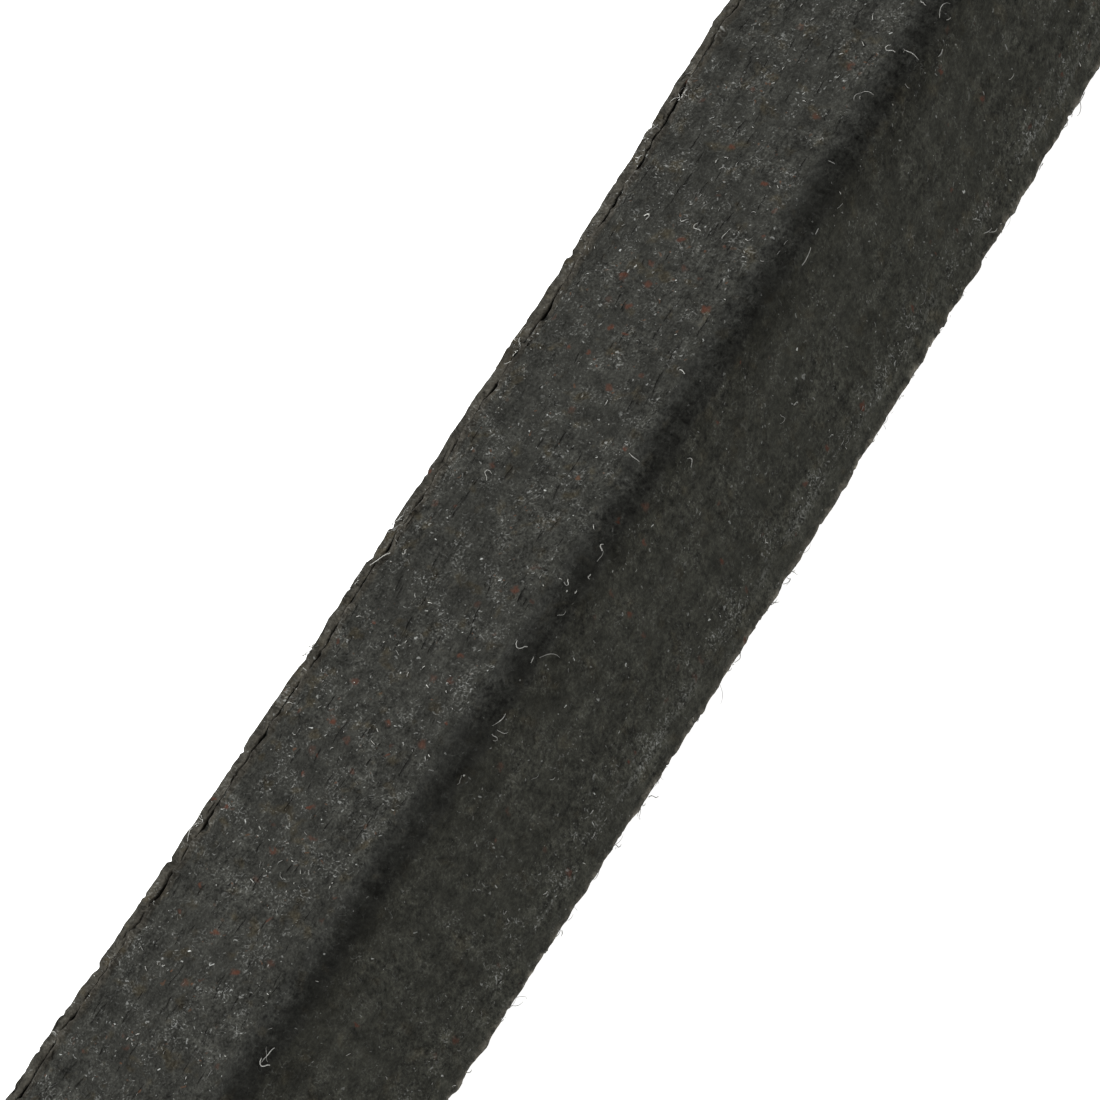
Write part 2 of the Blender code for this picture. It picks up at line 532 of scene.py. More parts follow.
def cover_zones(s, points):
    """For each point of the cover's outline, how much it belongs to each zone of the cloth."""
    back, base, half_top = s.cord_depth, s.cord_depth - s.height, s.top_width / 2
    groove = Vector((base + s.ply + s.gap / 2, half_width(s, base + s.ply, 0)))
    corners = [Vector((back, side * half_top)) for side in (1, -1)]
    plain_corner = Vector((base, -half_width(s, base, 0)))
    zones = {name: [] for name in ZONES}
    run, spread, last = 0.0, 0.0, points[0]
    for p in points:
        step = p - last
        run += step.length
        seen_step = SEEN_ACROSS[0] * step.x + SEEN_ACROSS[1] * step.y
        spread += max(abs(seen_step), LEAST_SEEN * step.length)
        last = p
        inset = half_width(s, p.x, 0) - abs(p.y)
        from_upper, from_lower = ((p - c).length for c in corners)
        from_plain, at_groove = (p - plain_corner).length, (p - groove).length
        depth = min(inset * math.cos(s.wedge / 2), back - p.x, p.x - base)
        at_corner = min(from_upper, from_lower) < 1.2 * MM or from_plain < 0.5 * MM
        outside = depth < SKIN or (at_corner and depth < CORNER_SKIN)
        near_rim = outside and p.y > 0 and inset < 0.45 * MM
        rim = near(at_groove, 0.85 * MM) if near_rim else 0.0
        upper, lower = near(from_upper, 2.0 * MM), near(from_lower, 2.0 * MM)
        below, along_back = back - p.x, p.y + half_top
        # band along the lower corner of the back: a little smoother cloth, and lighter as painted light from
        # the floor
        lip = near(max(0.0, along_back - 2.1 * MM), 0.45 * MM) * (p.y < 0 and below < 0.8 * MM)
        beside = near(max(0.0, half_top - 0.9 * MM - abs(p.y)), 0.35 * MM) if below < 0.8 * MM else 1.0
        found = {
            "across": run / MM,
            "spread": spread / MM,
            "shown": 1.0 if outside else 0.0,
            "flank": near(inset, 0.3 * MM) * near(max(0, p.x - back + 1.5 * MM), 0.9 * MM),
            "lip": lip,
            # pale fuzz with painted highlight along the outline at the lower corner of the back
            "fringe": near(max(0.0, along_back - 1.0 * MM), 0.28 * MM) * (below < MM),
            "crease": near(abs(along_back - 2.55 * MM), 0.40 * MM) * (below < 0.3 * MM),
            "smooth": max(near(from_upper, 1.75 * MM), 0.25 * lip),
            "ridge": max(upper, 1.3 * lower),
            "shoulder": near(min(from_upper, from_lower), 1.9 * MM) * beside,
            # painted shade along the darkest line of the ridge, on the back beside its upper corner
            "crest": near(abs(half_top - 0.7 * MM - p.y), 0.28 * MM) * (below < 0.4 * MM),
            # darker band beside the upper corner of the back: darker cloth, partly painted shade
            "dusk": window(half_top - p.y, 0.4 * MM, 1.1 * MM, 1.8 * MM, 3.7 * MM) * (below < 1.2 * MM),
            "worn": window(along_back, 2.0 * MM, 2.6 * MM, 3.1 * MM, 4.9 * MM) * (below < 0.3 * MM),
            "rim": rim,
            "lap": near(at_groove, 1.0 * MM) * (near_rim or at_groove < 0.3 * MM),
            # tuck: the cloth turned in under its free edge; it shapes the crevice, and the cloth darkens it
            # there as painted shade
            "tuck": near(at_groove, 0.40 * MM) * (p.x > groove.x and inset < 0.2 * MM),
            # outer strip of the free edge on the base corner: frayed cloth, lighter, with painted highlight
            # along the outline; it also shapes the ragged edge
            "edge": near(abs(p.y - groove.y), 0.35 * MM) * (p.x < groove.x and p.y > 0),
            "corner": max(2.4 * upper, 5.4 * lower, near(from_plain, MM), 3.6 * rim),
        }
        for name, value in found.items():
            zones[name].append(value)
    return zones


# ---------------------------------------------------------------- helper objects


def helpers():
    group = bpy.data.collections.get(HELPERS)
    if group is None:
        group = bpy.data.collections.new(HELPERS)
        bpy.context.scene.collection.children.link(group)
    return group


def remove_helpers():
    for group in [*helpers().children, helpers()]:
        for item in list(group.objects):
            bpy.data.objects.remove(item)
        bpy.data.collections.remove(group)


def poly_curve(name, points, closed):
    data = bpy.data.curves.new(name, "CURVE")
    data.dimensions = "3D"
    spline = data.splines.new("POLY")
    spline.points.add(len(points) - 1)
    for point, place in zip(spline.points, points):
        point.co = (*place, 1.0)
    spline.use_cyclic_u = closed
    made = bpy.data.objects.new(name, data)
    helpers().objects.link(made)
    return made


def point_mesh(name, places, attributes):
    """A mesh of loose points that carry numbers."""
    mesh = bpy.data.meshes.new(name)
    mesh.from_pydata([(p[0], p[1], 0.0) for p in places], [], [])
    for key, values in attributes.items():
        mesh.attributes.new(key, "FLOAT", "POINT").data.foreach_set("value", values)
    made = bpy.data.objects.new(name, mesh)
    helpers().objects.link(made)
    return made


def belt_path(scene):
    points, total = loop_points(scene.belt_section, scene.belt_loop)
    made = bpy.data.objects.get("cord_line") or poly_curve("cord_line", points, True)
    return made, total


# ---------------------------------------------------------------- sweep tree


def titled(key):
    """A setting's name as it is written on a tree's input."""
    return key.replace("_", " ").title()


ZONES = (
    "across", "spread", "shown", "flank", "smooth", "shoulder", "ridge", "dusk", "worn", "rim",
    "lip", "fringe", "crease", "crest", "lap", "tuck", "edge", "corner",
)
SWEEP_INPUTS = {
    "Path": "Object",
    "Path Length": "Float",
    "Section": "Object",
    "Fine Start": "Float",
    "Fine Length": "Float",
    "Fine Stations": "Int",
    "Coarse Stations": "Int",
    "Cloth": "Material",
}
RELIEF_SETTINGS = (
    "thread_depth", "wave_depth", "scallop_depth", "nub_height", "rim_depth", "lap_wander", "pit_depth",
)
RELIEF_INPUTS = ("Thread Along", "Thread Across", "Flank Lean", *(titled(key) for key in RELIEF_SETTINGS))


def station_distance(g, row):
    """How far along the belt a row of the sweep lies: close in the fine stretch, wide elsewhere."""
    given = g.given
    fine_step = g.over(given["Fine Length"], given["Fine Stations"])
    rest = g.minus(given["Path Length"], given["Fine Length"])
    coarse_step = g.over(rest, given["Coarse Stations"])
    fine_rows = g.math("MINIMUM", row, given["Fine Stations"])
    coarse_rows = g.math("MAXIMUM", g.minus(row, given["Fine Stations"]), 0.0)
    fine_part = g.times_plus(fine_rows, fine_step, given["Fine Start"])
    return g.times_plus(coarse_rows, coarse_step, fine_part)


def sweep_tree(name, zones=(), relief=False):
    """A closed section carried round the loop on a grid whose two seams are merged."""
    g = GeometryTree(name, {**SWEEP_INPUTS, **(dict.fromkeys(RELIEF_INPUTS, "Float") if relief else {})})
    given = g.given
    path = g.node("ObjectInfo", {"Object": given["Path"]}, "Geometry")
    section = g.node("ObjectInfo", {"Object": given["Section"]}, "Geometry")
    columns = g.node("AttributeDomainSize", {"Geometry": section}, "Point Count")
    rows = g.plus(g.plus(given["Fine Stations"], given["Coarse Stations"]), 1.0)
    grid = g.node("MeshGrid", {"Vertices X": rows, "Vertices Y": columns}, "Mesh")
    index = g.add("GeometryNodeInputIndex").outputs[0]
    row = g.floor(g.over(g.plus(index, 0.5), columns))
    column = g.minus(index, g.times(row, columns))
    distance = station_distance(g, row)
    round_once = g.math("MODULO", distance, given["Path Length"])
    place, _, outward = g.along(path, round_once)
    corner = g.point_of(section, column, g.position(), "FLOAT_VECTOR")
    if relief:
        masks = [g.point_of(section, column, g.attribute(name)) for name in ("edge", "lap", "tuck")]
        corner = g.shift(corner, ragged_edge(g, place, *masks))
    made = grid
    for zone in zones:
        made = g.store(made, zone, g.point_of(section, column, g.attribute(zone)))
    if relief:
        made = g.store(made, "along", g.over(distance, MM))
        uv = g.xyz(g.attribute("along"), g.attribute("across"))
        made = g.store(made, "cloth_uv", uv, "FLOAT2", "CORNER")
        uv = g.xyz(g.attribute("along"), g.attribute("spread"))
        made = g.store(made, "grain_uv", uv, "FLOAT2", "CORNER")
        # how far the crevice beside the free edge sinks, darkened by the cloth as painted shade
        opened = pit_openness(g, g.scale(place, 1 / MM))
        made = g.store(made, "pit", g.times(g.attribute("tuck"), opened))
    made = g.move(made, position=g.shift(place, g.in_section(outward, corner)))
    made = g.node("MergeByDistance", {"Geometry": made, "Distance": 0.005 * MM})
    if relief:
        made = g.move(made, offset=cloth_relief(g))
    made = g.node("FlipFaces", {"Mesh": made})
    made = g.node("SetShadeSmooth", {"Geometry": made, "Shade Smooth": relief})
    g.finish(made, given["Cloth"])
    return g


def pit_openness(g, where):
    """How far the crevice beside the free edge stands open, along the belt."""
    openness = g.noise(g.shift(where, (5.0, 13.0, 1.0)), 0.70, 3.0, 0.6)
    return g.ramp(openness, 0.49, 0.60)


def ragged_edge(g, place, edge, lap, tuck):
    """Wander of the cloth's free edge and of the crevice beside it, as a vector in the section."""
    given = g.given
    where = g.scale(place, 1 / MM)
    slow = g.minus(g.noise(where, 0.45, 2.0), 0.5)
    quick = g.minus(g.noise(where, 2.1, 2.0), 0.5)
    rim = given["Rim Depth"]
    pushed = g.times(g.times(g.times_plus(quick, 0.8, slow), edge), rim)
    away = g.times(g.math("ABSOLUTE", quick), -0.5)
    lifted = g.times(g.times(away, edge), rim)
    drift = g.noise(g.shift(where, (31.0, 7.0, 3.0)), 0.30, 3.0, 0.6)
    drift = g.times(g.minus(drift, 0.36), g.times(lap, given["Lap Wander"]))
    lean_cos, lean_sin = g.math("COSINE", given["Flank Lean"]), g.math("SINE", given["Flank Lean"])
    up_flank = g.xyz(g.times(drift, lean_cos), g.times(drift, lean_sin))
    fill = g.scale(g.xyz(-0.022 * MM, 0.060 * MM), g.ramp(tuck, 0.55, 0.8))
    sink = g.times(pit_openness(g, where), g.times(tuck, given["Pit Depth"]))
    sunk = g.xyz(g.times(sink, lean_sin), g.times(sink, g.times(lean_cos, -1.0)))
    return g.shift(g.shift(g.xyz(lifted, pushed), up_flank), g.shift(fill, sunk))


def cloth_relief(g):
    """Offset of the shown cloth along its normal: slow waves, scalloped corners and the weave."""
    given = g.given
    where = g.scale(g.position(), 1 / MM)
    wave = g.minus(g.noise(where, 0.35, 2.0), 0.5)
    scallop = g.minus(g.noise(where, 1.0, 4.0, 0.62), 0.5)
    along, across = g.attribute("along"), g.attribute("across")
    turn_one = g.times(along, given["Thread Along"])
    turn_two = g.times(across, given["Thread Across"])
    weave = g.crossed(turn_one, turn_two)
    start = g.over(given["Fine Start"], MM)
    span = g.over(given["Fine Length"], MM)
    from_start = g.minus(along, start)
    from_end = g.minus(span, from_start)
    fine = g.ramp(g.math("MINIMUM", from_start, from_end), 0.0, 2.5)
    height = g.times(wave, given["Wave Depth"])
    corner = g.times(g.attribute("corner"), given["Scallop Depth"])
    height = g.times_plus(scallop, corner, height)
    nubs = g.ramp(g.noise(g.shift(where, (4.0, 4.0, 4.0)), 2.6, 2.0, 0.6), 0.57, 0.67)
    knots = g.times(g.attribute("corner"), g.times(given["Nub Height"], 0.4))
    height = g.times_plus(nubs, knots, height)
    threads = g.times(g.times(weave, fine), given["Thread Depth"])
    height = g.times(g.plus(height, threads), g.attribute("shown"))
    return g.scale(g.add("GeometryNodeInputNormal").outputs[0], height)


def sweep_values(scene, section_object, material):
    path, total = belt_path(scene)
    loop = scene.belt_loop
    return {
        "Path": path,
        "Path Length": total,
        "Section": section_object,
        "Fine Start": total / 2 - loop.fine_length / 2,
        "Fine Length": loop.fine_length,
        "Fine Stations": loop.fine_stations,
        "Coarse Stations": loop.coarse_stations,
        "Cloth": material,
    }


# ---------------------------------------------------------------- materials


class Finish(Nodes):
    """A Principled material with nodes of its own."""

    def __init__(self, name, roughness=0.8, specular=0.3, sheen=0.0, sheen_roughness=0.5):
        self.material = bpy.data.materials.new(name)
        self.material.use_nodes = True
        super().__init__(self.material.node_tree)
        self.shader = self.tree.nodes["Principled BSDF"]
        self.shader.inputs["Roughness"].default_value = roughness
        self.shader.inputs["Specular IOR Level"].default_value = specular
        self.shader.inputs["Sheen Weight"].default_value = sheen
        self.shader.inputs["Sheen Roughness"].default_value = sheen_roughness
        self.shader.inputs["Metallic"].default_value = 0.0

    def set(self, name, value):
        self.feed(self.shader.inputs[name], value)

    def object_mm(self):
        place = self.add("ShaderNodeTexCoord").outputs["Object"]
        return self.scale(place, 1 / MM)

    def value_of(self, name):
        return self.add("ShaderNodeAttribute", attribute_name=name).outputs["Fac"]

    def bump(self, height, distance, strength=1.0, normal=None):
        inputs = {"Height": height, "Distance": distance, "Strength": strength}
        if normal is not None:
            inputs["Normal"] = normal
        return self.add("ShaderNodeBump", inputs).outputs[0]

    def dots(self, vector, scale, radius, share, softness=0.35):
        """Scattered dots: 1 inside, 0 outside. The share of cells that hold one may vary."""
        inputs = {"Vector": vector, "Scale": scale}
        cells = self.add("ShaderNodeTexVoronoi", inputs, feature="F1", voronoi_dimensions="2D")
        pick = self.split(cells.outputs["Color"])
        chosen = self.math("LESS_THAN", pick[0], share)
        size = self.times_plus(pick[1], radius * 0.8, radius * 0.45)
        inner = self.times(size, 1 - softness)
        spot = self.ramp(cells.outputs["Distance"], inner, size, 1.0, 0.0)
        return self.times(spot, chosen), pick[2]


SHADED_ZONES = (
    "flank", "smooth", "shoulder", "dusk", "worn", "rim", "fringe",
    "crease", "crest", "lip", "pit", "edge", "tuck",
)


def cloth_material(cloth, along, across):
    """Rubberised bias cloth: weave, turning marks, grain, lint, rust specks and worn zones, with painted
    shade in the crevice and along the ridge and painted light on the lower back and the outlines.
    """
    f = Finish("cover_cloth_looks", roughness=0.85, specular=0.05)
    mm = f.object_mm()
    u, v, _ = f.split(f.add("ShaderNodeUVMap", uv_map="cloth_uv").outputs[0])
    flat = f.add("ShaderNodeUVMap", uv_map="grain_uv").outputs[0]
    zone = {name: f.value_of(name) for name in SHADED_ZONES}
    flank, smooth = zone["flank"], zone["smooth"]
    patches = f.noise(mm, 0.42, 3.0, 0.6)
    clumps = f.noise(f.shift(flat, (3.0, 9.0, 5.0)), 1.2, 3.0, 0.65)
    mottle = f.noise(flat, 2.8, 3.0, 0.6)
    grain = f.noise(flat, 7.0, 3.0, 0.75)
    sparkle = f.noise(flat, 14.0, 1.0, 0.5)
    astray = f.noise(flat, 5.0, 1.0, 0.5, channel=1)
    astray = f.scale(f.vector("SUBTRACT", astray, (0.5, 0.5, 0.5)), 0.28)
    strewn = f.shift(flat, astray)

    marks_at = f.xyz(f.times(u, 0.55), f.over(v, cloth.mark_pitch / MM))
    marks = f.noise(marks_at, 1.0, 2.0, 0.6)
    furrows_at = f.xyz(f.times(u, 0.9), f.times(v, 2.7), 4.0)
    furrows = f.ramp(f.noise(furrows_at, 1.0, 2.0, 0.5), 0.37, 0.30)
    furrows = f.times(furrows, flank)
    drift = f.times(f.minus(patches, 0.5), 3.0)
    weave = f.crossed(f.plus(f.times(u, along), drift), f.times(v, across))

    base = f.mix(flank, cloth.olive, cloth.cloth)
    base = f.mix(f.ramp(zone["shoulder"], 0.10, 0.55), base, cloth.smooth)
    # darker cloth in blotches beside the upper corner of the back, partly painted shade
    dusk = f.times(zone["dusk"], f.ramp(patches, 0.35, 0.62, 1.0, 0.45))
    base = f.mix(dusk, base, cloth.dusk)
    # frayed cloth at the free edge, lighter, and along the outline painted highlight too
    base = f.mix(f.math("MAXIMUM", f.ramp(zone["rim"], 0.60, 0.95), zone["edge"]), base, cloth.rim)
    # painted highlight along the lower corner's outline, partly pale fuzz, in mottled patches
    base = f.mix(f.times(zone["fringe"], f.ramp(mottle, 0.42, 0.56)), base, cloth.rim)
    ochre = f.noise(f.shift(flat, (17.0, 2.0, 8.0)), 1.5, 2.0, 0.55)
    ochre = f.times(f.ramp(ochre, 0.56, 0.72), f.times_plus(flank, 0.25, 0.25))
    base = f.mix(ochre, base, cloth.blotch)
    tone = f.ramp(grain, 0.28, 0.74, 0.45, 1.68, smooth=False)
    tone = f.times(tone, f.ramp(mottle, 0.28, 0.72, 0.66, 1.36, smooth=False))
    coarse = f.noise(f.shift(flat, (2.0, 7.0, 4.0)), 0.55, 3.0, 0.55)
    coarse = f.ramp(coarse, 0.40, 0.62, 0.72, 1.30)
    coarse = f.times(coarse, f.times_plus(flank, -0.18, 1.18))
    tone = f.times_plus(f.minus(tone, 1.0), coarse, 1.0)
    tone = f.times(tone, f.ramp(clumps, 0.30, 0.70, 0.80, 1.22, smooth=False))
    tone = f.times(tone, f.ramp(patches, 0.3, 0.7, 0.86, 1.16, smooth=False))
    # the brightest part of the painted highlight on the lower corner's outline
    fringe = f.times(zone["fringe"], f.ramp(mottle, 0.36, 0.60, 0.25, 1.0))
    base = f.mix(f.times(fringe, 0.55), base, [3.4 * c for c in cloth.rim])
    # painted shade along the ridge's darkest line, broken into clumps
    crest = f.times(zone["crest"], f.ramp(clumps, 0.36, 0.56))
    # part of the cloth, how much lighter or darker it is; the crevice and the ridge line are darker as
    # painted shade, the band along the lower corner of the back lighter as painted light, the free edge
    # lighter as frayed cloth with painted highlight
    parts = (
        (weave, 0.15), (furrows, -0.35), (zone["pit"], -0.20), (zone["lip"], 0.30),
        (zone["worn"], 0.22), (zone["edge"], 0.30), (zone["tuck"], -0.15), (crest, -0.32),
    )
    for part, gain in parts:
        tone = f.times(tone, f.times_plus(part, gain, 1.0))
    mark_tone = f.times(f.minus(marks, 0.5), f.times(flank, 0.5))
    tone = f.times(tone, f.plus(mark_tone, 1.0))
    calm = f.ramp(smooth, 0.20, 0.60, 0.0, 0.05)
    tone = f.plus(f.times(tone, f.minus(1.0, calm)), calm)
    base = f.mix(1.0, base, f.xyz(tone, tone, tone), "MULTIPLY")

    clear = f.ramp(smooth, 0.15, 0.45, 1.0, 0.35)
    rub = f.times_plus(flank, 0.55, 0.35)
    rub = f.times(f.times_plus(zone["worn"], 1.2, rub), clear)
    heaps = f.times(f.ramp(clumps, 0.47, 0.68, 0.08, 1.0), rub)
    crumbs = f.times(f.ramp(sparkle, 0.50, 0.72), heaps)
    curls = f.noise(f.shift(flat, (1.0, 6.0, 12.0)), 3.6, 1.0, 0.5, 0.6)
    curls = f.ramp(f.math("ABSOLUTE", f.minus(curls, 0.5)), 0.0, 0.024, 1.0, 0.0)
    pieces = f.ramp(f.noise(f.shift(flat, (8.0, 3.0, 2.0)), 4.6, 1.0), 0.55, 0.62)
    curls = f.times(f.times(curls, pieces), f.plus(heaps, 0.12))
    thread = f.times(zone["crease"], f.times(f.ramp(patches, 0.42, 0.62), f.ramp(grain, 0.42, 0.6)))
    share = f.times(f.ramp(clumps, 0.40, 0.66, 0.10, 0.85), rub)
    fine_dots, fine_tone = f.dots(strewn, 6.5, 0.19, share)
    bright, bright_tone = f.dots(strewn, 2.6, 0.075, f.times(share, 0.36))
    stained = f.times(f.ramp(patches, 0.40, 0.62, 0.08, 0.60), f.times(rub, clear))
    off_rim = f.minus(1.0, f.math("MAXIMUM", zone["rim"], zone["fringe"]))
    stained = f.times(stained, off_rim)
    spots, spot_tone = f.dots(f.shift(strewn, (0.3, 0.7, 0.0)), 1.15, 0.17, stained, 0.85)
    crowd = f.times(f.times(stained, flank), f.ramp(clumps, 0.47, 0.60, 0.1, 1.6))
    embers, ember_tone = f.dots(f.shift(strewn, (0.8, 0.1, 0.0)), 2.6, 0.15, crowd, 0.85)
    # what lies on the cloth, how strongly it covers, its colour
    strewn_parts = (
        (crumbs, 0.18, cloth.lint),
        (curls, 0.42, cloth.lint),
        (thread, 0.16, cloth.lint),
        (fine_dots, f.ramp(fine_tone, 0.2, 1.0, 0.03, 0.36), cloth.lint),
        (bright, f.ramp(bright_tone, 0.0, 1.0, 0.2, 1.0), cloth.lint),
        (spots, f.ramp(spot_tone, 0.0, 1.0, 0.30, 1.0), cloth.rust),
        (embers, f.ramp(ember_tone, 0.0, 1.0, 0.25, 0.9), cloth.ember),
    )
    for part, cover, tint in strewn_parts:
        base = f.mix(f.times(part, cover), base, tint)
    f.set("Base Color", base)
    f.set("Roughness", f.ramp(smooth, 0.15, 0.6, 0.88, 0.72))

    height = f.times(weave, 0.45)
    reliefs = ((marks, f.times(flank, 0.5)), (furrows, -0.8), (mottle, 1.2), (grain, 0.8), (sparkle, 0.35))
    for part, rise in reliefs:
        height = f.times_plus(part, rise, height)
    f.set("Normal", f.bump(height, 0.055 * MM, f.ramp(smooth, 0.15, 0.6, 1.0, 0.5)))
    return f.material


def fibre_material(fibres):
    f = Finish("loose_fibre_looks", roughness=0.6, specular=0.35, sheen=0.3)
    mm = f.object_mm()
    shade = f.plus(f.noise(mm, 1.6, 2.0), f.times(f.value_of("bulk"), 0.5))
    tone = f.ramp(shade, 0.6, 1.15, 0.0, 1.0)
    f.set("Base Color", f.mix(tone, [c * 0.35 for c in fibres.tone], fibres.tone))
    f.set("Normal", f.bump(f.noise(mm, 40.0), 0.004 * MM, 0.4))
    return f.material


def rubber_material(name, tint, fibre_share, roughness):
    """Moulded rubber, with short chopped fibres showing where the share is above nothing."""
    f = Finish(name, roughness=roughness, specular=0.35)
    mm = f.object_mm()
    grain = f.noise(mm, 5.0, 4.0, 0.7)
    flow = f.noise(f.vector("MULTIPLY", mm, (0.2, 0.2, 1.6)), 0.8, 3.0)
    tone = f.times(f.ramp(grain, 0.3, 0.7, 0.8, 1.25), f.ramp(flow, 0.3, 0.7, 0.85, 1.15))
    base = f.mix(1.0, tint, f.xyz(tone, tone, tone), "MULTIPLY")
    chopped, _ = f.dots(f.vector("MULTIPLY", mm, (0.35, 0.35, 1.0)), 4.0, 0.18, fibre_share)
    base = f.mix(f.times(chopped, 0.7), base, (0.28, 0.26, 0.22))
    f.set("Base Color", base)
    f.set("Roughness", f.ramp(grain, 0.3, 0.7, roughness - 0.08, roughness + 0.1))
    f.set("Normal", f.bump(grain, 0.03 * MM, 0.5))
    return f.material


def cord_material():
    """Twisted polyester cord, dipped for adhesion."""
    f = Finish("tensile_cord_looks", roughness=0.55, specular=0.35, sheen=0.25)
    mm = f.object_mm()
    strands = f.add("ShaderNodeTexWave", {"Vector": mm, "Scale": 0.9, "Distortion": 1.2, "Detail": 2.0},
                    wave_type="BANDS", bands_direction="DIAGONAL").outputs["Fac"]
    dip = f.noise(mm, 0.8, 3.0)
    base = f.mix(f.ramp(strands, 0.1, 0.6), (0.30, 0.24, 0.16), (0.62, 0.57, 0.46))
    base = f.mix(f.ramp(dip, 0.45, 0.75, 0.0, 0.4), base, (0.20, 0.11, 0.07))
    f.set("Base Color", base)
    f.set("Roughness", f.ramp(strands, 0.0, 1.0, 0.7, 0.5))
    f.set("Normal", f.bump(strands, 0.08 * MM, 0.7))
    return f.material


# ---------------------------------------------------------------- operators


def thread_turns(scene, total):
    """Phase per millimetre along and across the belt for each set of threads, in whole turns of the loop."""
    cloth = scene.cover_cloth
    along = math.sin(cloth.thread_angle) / (cloth.thread_pitch / MM)
    along = round(along * total / MM) / (total / MM)
    across = math.cos(cloth.thread_angle) / (cloth.thread_pitch / MM)
    return math.pi * along, math.pi * across


class BELT_OT_cover(bpy.types.Operator):
    """Sweep the outer cover ply round the loop, with its lap, relief and cloth"""

    bl_idname = "belt.cover"
    bl_label = "Cover Ply"

    def execute(self, context):
        scene = context.scene
        cloth = scene.cover_cloth
        section = scene.belt_section
        points = cover_outline(section)
        shape = point_mesh("cover_section", points, cover_zones(section, points))
        along, across = thread_turns(scene, belt_path(scene)[1])
        values = sweep_values(scene, shape, cloth_material(cloth, along, across))
        values.update({"Thread Along": along, "Thread Across": across, "Flank Lean": section.wedge / 2})
        values.update({titled(key): getattr(cloth, key) for key in RELIEF_SETTINGS})
        cover = built("cover_ply", sweep_tree("cover_sweep", ZONES, relief=True), values, "cover_cloth")
        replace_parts(cover, "cover_outer")
        return {"FINISHED"}


class BELT_OT_core(bpy.types.Operator):
    """Sweep the second ply and the layers of core rubber under the cover"""

    bl_idname = "belt.core"
    bl_label = "Core Layers"

    def execute(self, context):
        scene = context.scene
        s = scene.belt_section
        cloth = 2 * (s.ply + s.gap)
        core_top, core_base = s.cord_depth - cloth, s.cord_depth - s.height + cloth
        sheath = s.cord + s.gap
        # node replaced, outline, slot, finish
        layers = (
            ("cover_inner", inner_outline(s), "inner_cover_cloth",
             rubber_material("inner_ply_looks", (0.060, 0.055, 0.045), 0.2, 0.85)),
            ("cushion_rubber", core_outline(s, s.adhesion + s.gap, core_top), "cushion",
             rubber_material("cushion_looks", (0.020, 0.020, 0.020), 0.0, 0.60)),
            ("adhesion_upper", core_outline(s, sheath, s.adhesion), "upper_adhesion",
             rubber_material("upper_adhesion_looks", (0.030, 0.027, 0.024), 0.0, 0.55)),
            ("adhesion_lower", core_outline(s, -s.adhesion, -sheath), "lower_adhesion",
             rubber_material("lower_adhesion_looks", (0.032, 0.028, 0.025), 0.0, 0.55)),
            ("compression_rubber", core_outline(s, core_base, -s.adhesion - s.gap), "compression",
             rubber_material("compression_looks", (0.016, 0.016, 0.017), 0.5, 0.62)),
        )
        tree = sweep_tree("layer_sweep")
        for node, points, slot, finish in layers:
            values = sweep_values(scene, point_mesh(node + "_section", points, {}), finish)
            values["Coarse Stations"] = scene.belt_loop.layer_stations
            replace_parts(built(node + "_layer", tree, values, slot), node)
        return {"FINISHED"}


def cord_tree():
    """A round cord along a wound path, closed at its two cut ends."""
    g = GeometryTree("cord_sweep", {"Path": "Object", "Radius": "Float", "Yarn": "Material"})
    path = g.node("ObjectInfo", {"Object": g.given["Path"]}, "Geometry")
    ring = g.node("CurvePrimitiveCircle", {"Resolution": 12, "Radius": g.given["Radius"]})
    cord = g.node("CurveToMesh", {"Curve": path, "Profile Curve": ring, "Fill Caps": True})
    cord = g.node("SetShadeSmooth", {"Geometry": cord})
    g.finish(cord, g.given["Yarn"])
    return g


class BELT_OT_cord(bpy.types.Operator):
    """Wind the tensile cord side by side round the loop"""

    bl_idname = "belt.cord"
    bl_label = "Tensile Cord"

    def execute(self, context):
        scene = context.scene
        s = scene.belt_section
        once, _ = loop_points(s, scene.belt_loop, scene.belt_loop.cord_stations)
        total = s.cord_turns * len(once)
        wound = []
        for i in range(total + 1):
            x, y, z = once[i % len(once)]
            wound.append((x, y, z + s.cord_pitch * (i / len(once) - s.cord_turns / 2)))
        path = poly_curve("wound_line", wound, False)
        values = {"Path": path, "Radius": s.cord, "Yarn": cord_material()}
        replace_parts(built("wound_cord", cord_tree(), values, "polyester_cord"), "tensile_cord")
        return {"FINISHED"}


FIBRE_SEED = 11
FIBRE_SHAPES = 14
FIBRE_INPUTS = {
    "Path": "Object",
    "Path Length": "Float",
    "Roots": "Object",
    "Shapes": "Collection",
    "Number": "Int",
    "Tufts": "Int",
    "Spread": "Float",
    "Shortest": "Float",
    "Longest": "Float",
    "Rise": "Float",
    "Thickness": "Float",
    "Seed": "Int",
    "Yarn": "Material",
}


def fibre_shapes(name, steps, curl):
    """Unit-length curled yarn ends, from nearly straight to hooked."""
    group = bpy.data.collections.new(name)
    helpers().children.link(group)
    draw = random.Random(FIBRE_SEED)
    for i in range(FIBRE_SHAPES):
        bend = draw.uniform(-2.6, 2.6) * curl
        wave = draw.uniform(-0.9, 0.9) * curl
        arch = draw.uniform(0.02, 0.16)
        heading, x, y = -bend / 2, 0.0, 0.0
        places = []
        for k in range(steps + 1):
            t = k / steps
            places.append((x, y, arch * math.sin(math.pi * t)))
            heading = -bend / 2 + bend * t * t + wave * math.sin(2 * math.pi * t)
            x += math.cos(heading) / steps
            y += math.sin(heading) / steps
        shape = poly_curve(f"{name}_{i:02d}", places, False)
        helpers().objects.unlink(shape)
        group.objects.link(shape)
    return group


